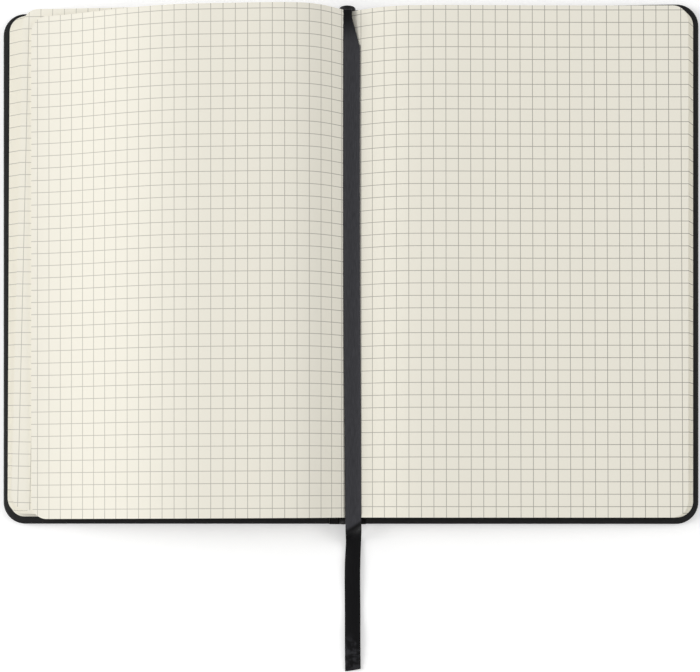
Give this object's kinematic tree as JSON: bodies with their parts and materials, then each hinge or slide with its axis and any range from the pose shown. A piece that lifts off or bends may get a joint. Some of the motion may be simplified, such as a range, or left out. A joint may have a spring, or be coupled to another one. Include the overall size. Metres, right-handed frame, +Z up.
{
  "type": "grid notebook",
  "caption": "Hard-cover notebook with a black leatherette cover and rounded corners, lying open at its middle on squared cream pages, with a marker ribbon in the gutter.",
  "frame": {"origin": "on the table under the middle of the spine: the middle of the underside, the ribbon left out", "axes": "+X across the open book towards the back cover's fore-edge, +Y along the spine towards the head, +Z up"},
  "size_m": [0.286, 0.2719, 0.0191],
  "materials": {
    "leatherette": "satin",
    "board": "matte",
    "endpaper": "matte",
    "paper": "matte",
    "lining": "matte",
    "ribbon": "satin"
  },
  "bodies": {
    "book_block": {"pages": "paper", "spine_lining": "lining", "spine_card": "board", "spine_wrap": "leatherette", "ribbon": "ribbon"},
    "front_cover": {"front_board": "board", "front_cover_wrap": "leatherette", "front_pastedown": "endpaper"},
    "back_cover": {"back_board": "board", "back_cover_wrap": "leatherette", "back_pastedown": "endpaper"}
  },
  "joints": [
    {"name": "front_cover_fold", "type": "hinge", "parent": "book_block", "child": "front_cover", "pos_m": [-0.0052, 0, 0], "axis": [0, -1, 0], "range_deg": [0, 90]},
    {"name": "back_cover_fold", "type": "hinge", "parent": "book_block", "child": "back_cover", "pos_m": [0.0052, 0, 0], "axis": [0, 1, 0], "range_deg": [0, 90]}
  ]
}
